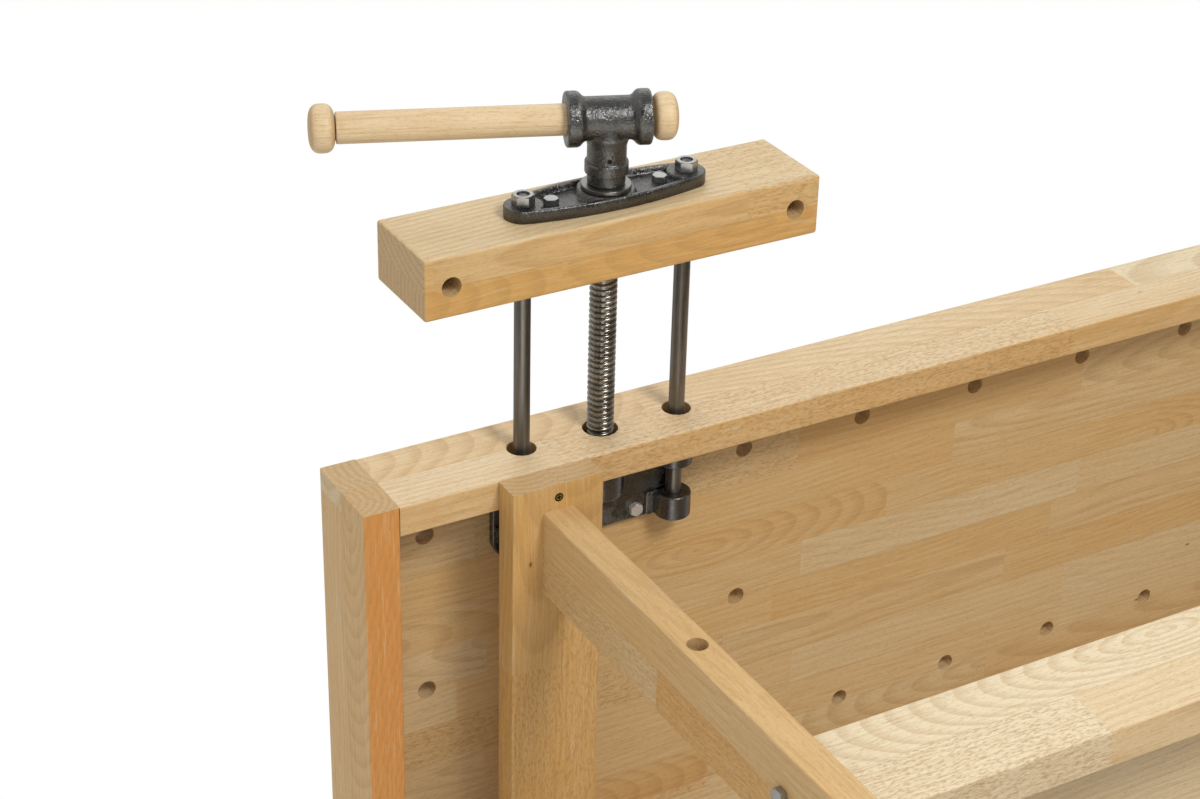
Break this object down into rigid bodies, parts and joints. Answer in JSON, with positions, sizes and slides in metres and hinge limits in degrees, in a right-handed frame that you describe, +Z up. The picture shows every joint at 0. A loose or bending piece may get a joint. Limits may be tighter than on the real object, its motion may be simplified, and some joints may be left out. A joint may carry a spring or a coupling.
{
  "type": "woodworking bench",
  "caption": "Beech joiner's bench on two trestles with stretchers, rows of dog holes, and a front and a tail vise with wooden jaws, cast-iron screw heads and sliding wooden handles.",
  "frame": {"origin": "on the floor, under the middle of the whole part's box", "axes": "+X along the bench from the front vise's end to the tail vise's end, +Y from the front to the rear, +Z up"},
  "size_m": [1.728, 0.8828, 0.9126],
  "materials": {
    "beech": "oiled light beech, edge-glued staves",
    "handle_wood": "turned pale beech, lacquered",
    "cast_iron": "black lacquer over a rough casting",
    "steel": "bright drawn steel, lightly oiled",
    "zinc": "zinc plated"
  },
  "bodies": {
    "bench": {"top_panel": "beech", "front_apron": "beech", "rear_apron": "beech", "left_end_cap": "beech", "right_end_cap": "beech", "left_bearer": "beech", "left_foot": "beech", "left_front_leg": "beech", "left_front_stretcher_bolt": "zinc", "left_rear_leg": "beech", "left_rear_stretcher_bolt": "zinc", "right_bearer": "beech", "right_foot": "beech", "right_front_leg": "beech", "right_front_stretcher_bolt": "zinc", "right_rear_leg": "beech", "right_rear_stretcher_bolt": "zinc", "front_stretcher": "beech", "rear_stretcher": "beech", "lower_shelf": "beech", "front_vise_guide_casting": "cast_iron", "front_vise_casting_bolt_1": "zinc", "front_vise_casting_bolt_2": "zinc", "tail_vise_guide_casting": "cast_iron", "tail_vise_casting_bolt_1": "zinc", "tail_vise_casting_bolt_2": "zinc"},
    "front_jaw": {"front_vise_jaw": "beech", "front_vise_jaw_plate": "cast_iron", "front_vise_guide_rod_1": "steel", "front_vise_guide_rod_2": "steel", "front_vise_rod_nut_1": "zinc", "front_vise_rod_nut_2": "zinc", "front_vise_plate_bolt_1": "zinc", "front_vise_plate_bolt_2": "zinc"},
    "front_screw": {"front_vise_screw": "steel", "front_vise_retaining_collar": "steel", "front_vise_thrust_washer": "zinc", "front_vise_cross_head": "cast_iron", "front_vise_cross_pin": "steel"},
    "front_handle": {"front_vise_handle_bar": "handle_wood", "front_vise_handle_knob_far": "handle_wood", "front_vise_handle_knob_near": "handle_wood"},
    "tail_jaw": {"tail_vise_jaw": "beech", "tail_vise_jaw_plate": "cast_iron", "tail_vise_guide_rod_1": "steel", "tail_vise_guide_rod_2": "steel", "tail_vise_rod_nut_1": "zinc", "tail_vise_rod_nut_2": "zinc", "tail_vise_plate_bolt_1": "zinc", "tail_vise_plate_bolt_2": "zinc"},
    "tail_screw": {"tail_vise_screw": "steel", "tail_vise_retaining_collar": "steel", "tail_vise_thrust_washer": "zinc", "tail_vise_cross_head": "cast_iron", "tail_vise_cross_pin": "steel"},
    "tail_handle": {"tail_vise_handle_bar": "handle_wood", "tail_vise_handle_knob_far": "handle_wood", "tail_vise_handle_knob_near": "handle_wood"}
  },
  "joints": [
    {"name": "front_jaw_slide", "type": "slide", "parent": "bench", "child": "front_jaw", "axis": [0, -1, 0], "range_m": [-0.1845, 0.01]},
    {"name": "front_screw_turn", "type": "hinge", "parent": "front_jaw", "child": "front_screw", "pos_m": [-0.58895, -0.33455, 0.796], "axis": [0, -1, 0], "range_deg": [-11070, 600]},
    {"name": "front_handle_slide", "type": "slide", "parent": "front_screw", "child": "front_handle", "axis": [0.9336, 0, -0.3584], "range_m": [0, 0.2085]},
    {"name": "tail_jaw_slide", "type": "slide", "parent": "bench", "child": "tail_jaw", "axis": [1, 0, 0], "range_m": [-0.0595, 0.135]},
    {"name": "tail_screw_turn", "type": "hinge", "parent": "tail_jaw", "child": "tail_screw", "pos_m": [0.75705, 0.17645, 0.796], "axis": [1, 0, 0], "range_deg": [-3570, 8100]},
    {"name": "tail_handle_slide", "type": "slide", "parent": "tail_screw", "child": "tail_handle", "axis": [0, 0.342, 0.9397], "range_m": [0, 0.2085]}
  ],
  "couplings": [
    {"joint": "front_jaw_slide", "follows": "front_screw_turn", "m_per_rad": 0.00095493},
    {"joint": "tail_jaw_slide", "follows": "tail_screw_turn", "m_per_rad": 0.00095493}
  ]
}
